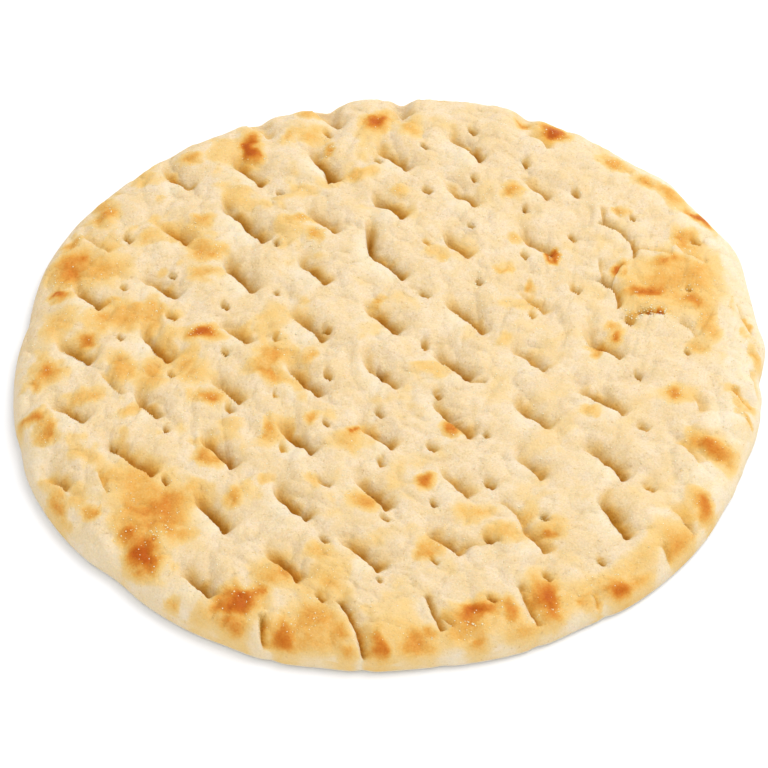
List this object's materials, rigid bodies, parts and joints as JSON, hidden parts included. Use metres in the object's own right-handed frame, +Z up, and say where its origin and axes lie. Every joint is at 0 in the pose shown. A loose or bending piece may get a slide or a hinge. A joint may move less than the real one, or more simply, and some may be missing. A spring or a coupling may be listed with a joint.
{
  "type": "pita bread",
  "caption": "Round flat loaf of pocketless pita, docked all over with slanted wells and pinholes, toasted in spots.",
  "frame": {"origin": "middle of the flat foot, on the surface the bread lies on", "axes": "+Z up through the bread's thickness, +X to the right and +Y away from the viewer of the docked side"},
  "size_m": [0.1792, 0.1787, 0.0095],
  "materials": {
    "crust": null
  },
  "bodies": {
    "root": {"bread": "crust"}
  },
  "joints": []
}
